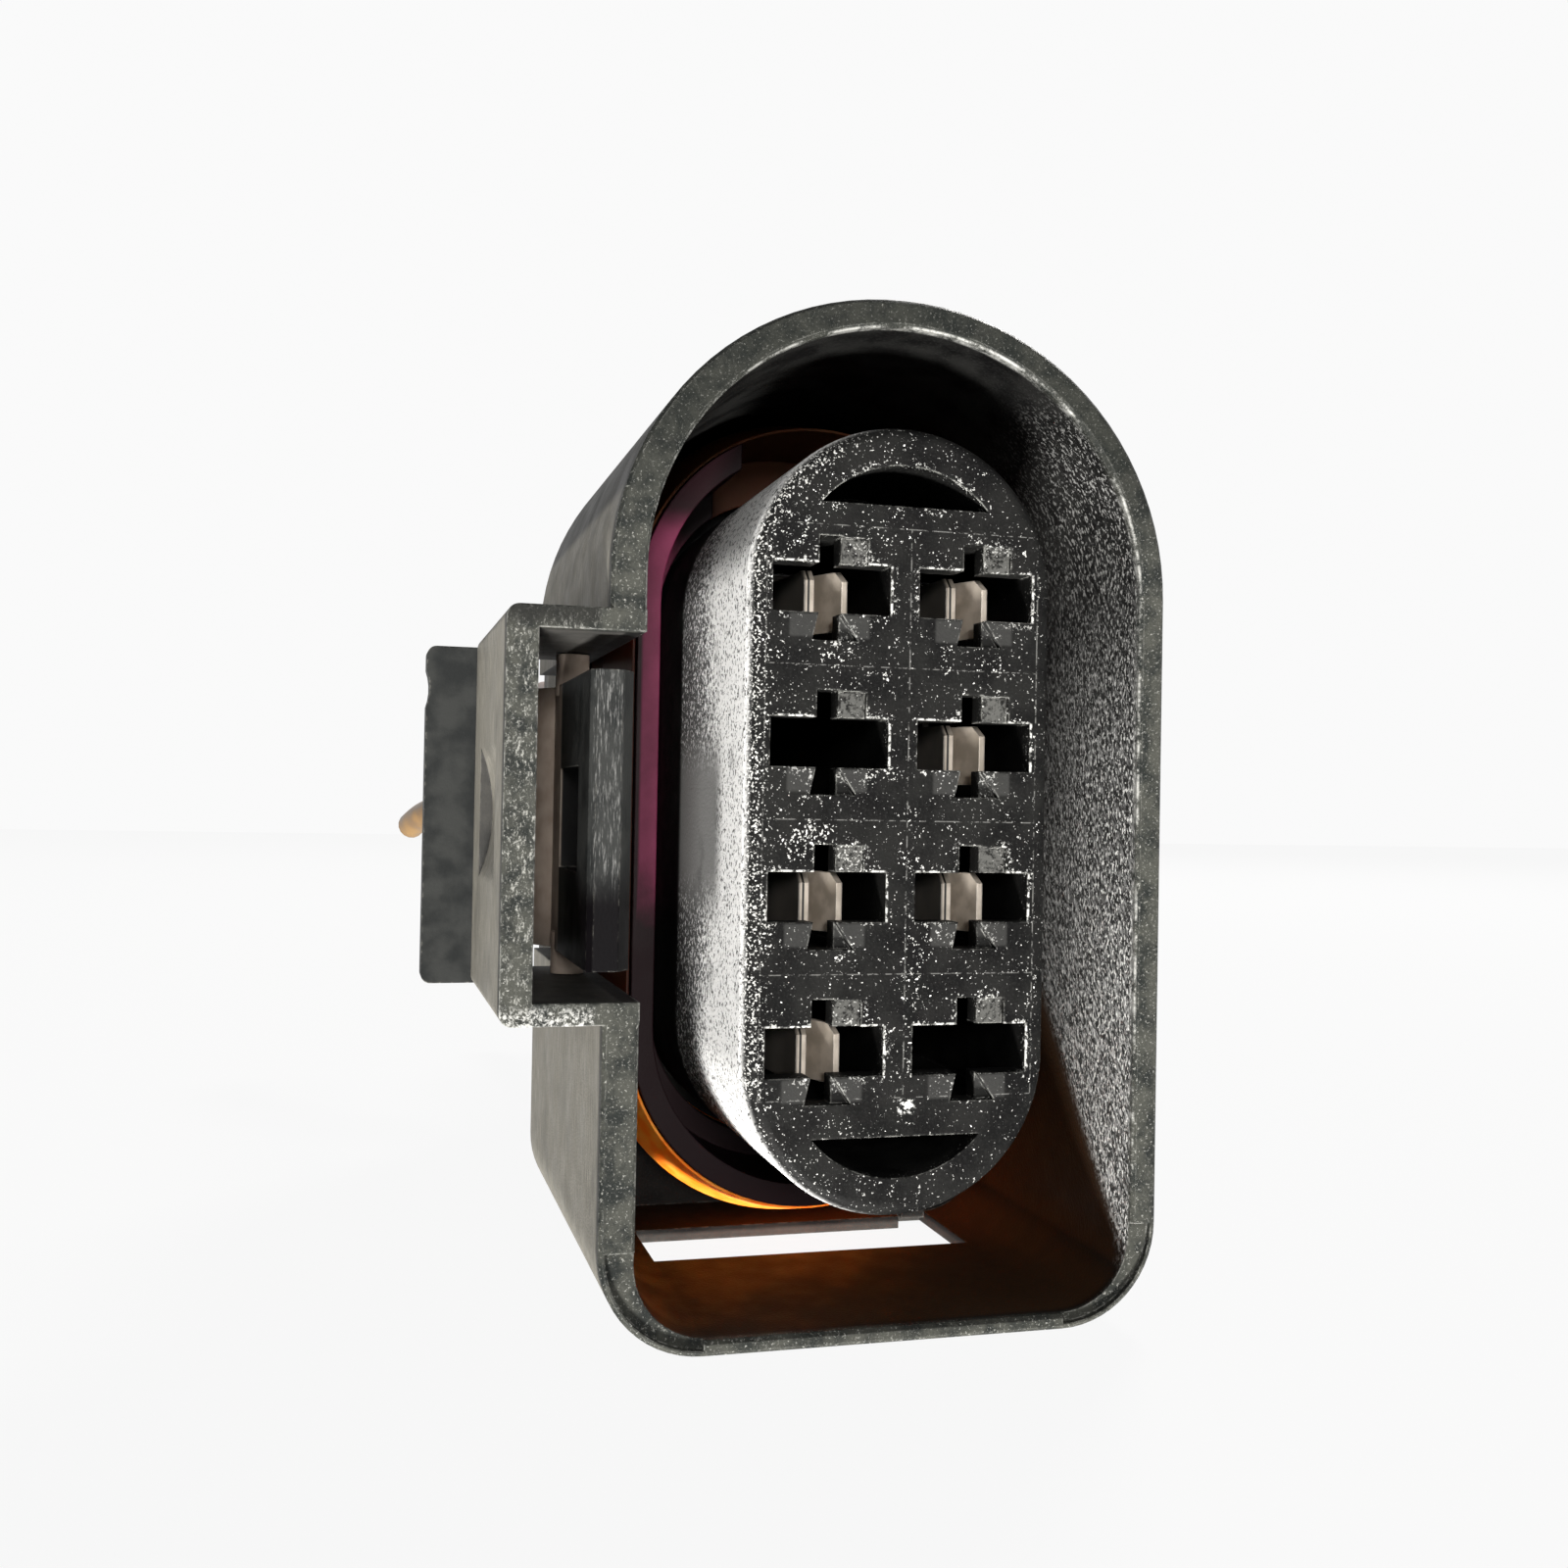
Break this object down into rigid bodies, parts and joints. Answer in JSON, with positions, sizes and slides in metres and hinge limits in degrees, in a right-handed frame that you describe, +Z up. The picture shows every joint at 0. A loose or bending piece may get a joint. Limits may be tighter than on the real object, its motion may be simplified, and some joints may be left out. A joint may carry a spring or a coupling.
{
  "type": "pre-wired multi-pin plug",
  "caption": "Sealed multi-pin plug housing with a side latch lever, secondary lock, orange seal and short cut leads.",
  "frame": {"origin": "centre of the tongue's flat front face, on the mating side", "axes": "+X to the right of the mating face, away from the latch; +Y back along the plugging direction to the leads; +Z up, square to the flat base wall"},
  "size_m": [0.0241, 0.0714, 0.0341],
  "materials": {
    "black_moulding": "matte, fine grained, dusty and scratched",
    "violet_moulding": "satin",
    "orange_silicone": "satin, translucent at thin lips",
    "tinned_contact": "dull tin plating",
    "spring_steel": "satin",
    "wire_seal_silicone": "satin",
    "plug_silicone": "satin",
    "insulation_tan": "satin",
    "insulation_brown": "satin",
    "insulation_black": "satin"
  },
  "bodies": {
    "connector": {"housing": "black_moulding", "interface_seal": "orange_silicone", "terminal_1": "tinned_contact", "terminal_2": "tinned_contact", "terminal_3": "tinned_contact", "terminal_4": "tinned_contact", "terminal_5": "tinned_contact", "terminal_6": "tinned_contact", "spring_cage_1": "spring_steel", "spring_cage_2": "spring_steel", "spring_cage_3": "spring_steel", "spring_cage_4": "spring_steel", "spring_cage_5": "spring_steel", "spring_cage_6": "spring_steel", "wire_seal_1": "wire_seal_silicone", "wire_seal_2": "wire_seal_silicone", "wire_seal_3": "wire_seal_silicone", "wire_seal_4": "wire_seal_silicone", "wire_seal_5": "wire_seal_silicone", "wire_seal_6": "wire_seal_silicone", "cavity_plug_1": "plug_silicone", "cavity_plug_2": "plug_silicone", "lead_1": "insulation_brown", "lead_2": "insulation_tan", "lead_3": "insulation_black", "lead_4": "insulation_brown", "lead_5": "insulation_black", "lead_6": "insulation_tan"},
    "lever": {"latch_lever": "black_moulding"},
    "lock": {"secondary_lock": "violet_moulding"}
  },
  "joints": [
    {"name": "latch_hinge", "type": "hinge", "parent": "connector", "child": "lever", "pos_m": [-0.0097, 0.0085, 0], "axis": [0, 0, -1], "range_deg": [0, 9], "stiffness_Nm_per_rad": 0.1},
    {"name": "lock_slide", "type": "slide", "parent": "connector", "child": "lock", "axis": [0, -1, 0], "range_m": [0, 0.002]}
  ]
}
